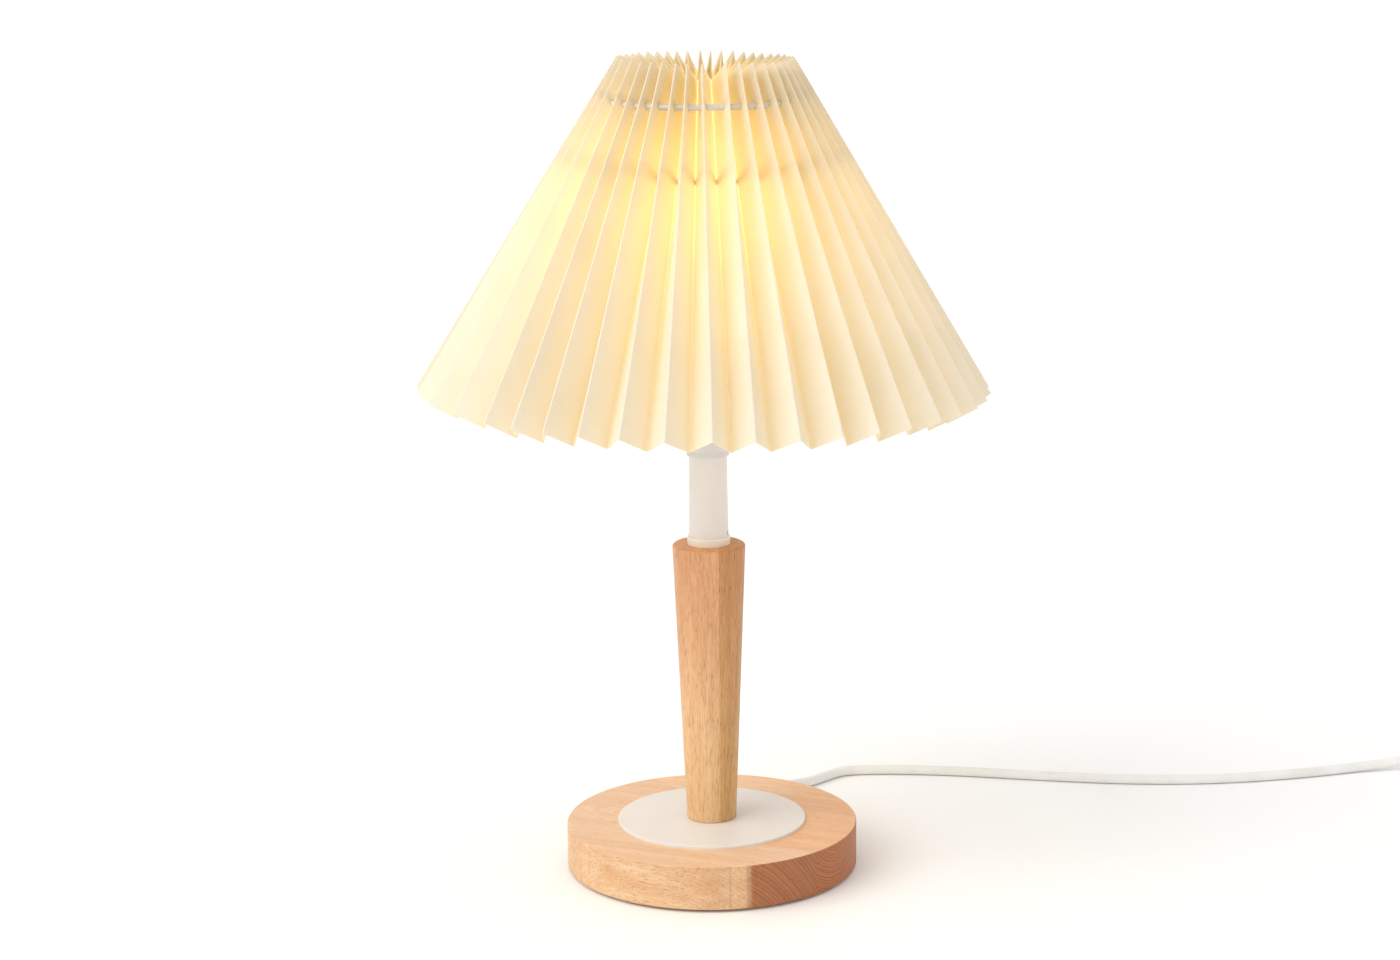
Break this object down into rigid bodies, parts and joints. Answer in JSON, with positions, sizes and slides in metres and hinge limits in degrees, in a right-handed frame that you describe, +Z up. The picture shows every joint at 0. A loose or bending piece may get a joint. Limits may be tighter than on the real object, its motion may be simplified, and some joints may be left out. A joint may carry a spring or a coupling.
{
  "type": "table lamp",
  "caption": "Table lamp with a round turned wooden foot, tapered wooden stem, pleated paper cone shade on a wire carrier, screw-in bulb, and a white lead with rocker switch and plug.",
  "frame": {"origin": "centre of the felt pad under the foot, on the table", "axes": "+Z up along the stem; -Y towards the front that the picture shows; the lead leaves at the back and runs towards +X"},
  "size_m": [0.7543, 0.313, 0.434],
  "materials": {
    "foot_wood": "oiled, satin",
    "stem_wood": "oiled, satin",
    "felt": "pressed felt",
    "white_metal": "satin powder coat",
    "zinc_steel": "zinc plated",
    "brass": "plain",
    "holder_plastic": "fine satin",
    "holder_ceramic": "glazed",
    "white_wire": "dip coated",
    "shade_paper": "matt, folded",
    "bulb_diffuser": "frosted, lit",
    "bulb_body": "satin",
    "bulb_metal": "nickel plated",
    "bulb_black": "fired black glass",
    "led_white": "white solder mask",
    "lead_sheath": "soft satin",
    "switch_plastic": "fine satin",
    "plug_plastic": "fine satin",
    "pin_metal": "nickel plated",
    "wire_insulation": "plain"
  },
  "bodies": {
    "lamp": {"base_pad": "felt", "base_disc": "foot_wood", "cover_plate": "white_metal", "stem": "stem_wood", "threaded_rod": "zinc_steel", "rod_washer": "zinc_steel", "rod_nut": "zinc_steel", "neck_collar": "white_metal", "neck_tube": "white_metal", "neck_grub_screw": "zinc_steel", "holder_cap": "holder_plastic", "holder_bush": "brass", "holder_core": "holder_ceramic", "holder_terminals": "brass", "terminal_screws": "zinc_steel", "screw_shell": "brass", "centre_contact": "brass", "holder_wires": "wire_insulation", "holder_skirt": "holder_plastic", "inner_cord": "lead_sheath", "strain_relief": "lead_sheath", "stop_tie": "lead_sheath", "cord_lead": "lead_sheath", "cord_coil": "lead_sheath", "cord_link": "lead_sheath", "cord_tail": "lead_sheath", "coil_tie": "lead_sheath", "switch_base": "switch_plastic", "switch_cover": "switch_plastic", "rocker_pin": "zinc_steel", "switch_screws": "zinc_steel", "switch_contacts": "brass", "switch_leads": "lead_sheath", "plug_body": "plug_plastic", "plug_pins": "pin_metal"},
    "shade": {"pleated_shade": "shade_paper", "gather_ring": "white_wire", "ring_sleeve": "white_wire", "shade_frame": "white_wire"},
    "clamp": {"clamp_ring": "holder_plastic"},
    "bulb": {"bulb_tip": "bulb_metal", "bulb_insulator": "bulb_black", "bulb_cap": "bulb_metal", "bulb_housing": "bulb_body", "led_board": "led_white", "bulb_dome": "bulb_diffuser"},
    "rocker": {"switch_rocker": "switch_plastic"}
  },
  "joints": [
    {"name": "shade_turn", "type": "hinge", "parent": "lamp", "child": "shade", "pos_m": [0, 0, 0.259], "axis": [0, 0, 1], "continuous": true},
    {"name": "clamp_turn", "type": "hinge", "parent": "lamp", "child": "clamp", "pos_m": [0, 0, 0.264], "axis": [0, 0, 1], "range_deg": [0, 1260]},
    {"name": "bulb_lift", "type": "slide", "parent": "lamp", "child": "bulb", "axis": [0, 0, 1], "range_m": [0, 0.025]},
    {"name": "switch_press", "type": "hinge", "parent": "lamp", "child": "rocker", "pos_m": [0.461, 0.15, 0.0126], "axis": [0, 1, 0], "range_deg": [0, 18]}
  ]
}
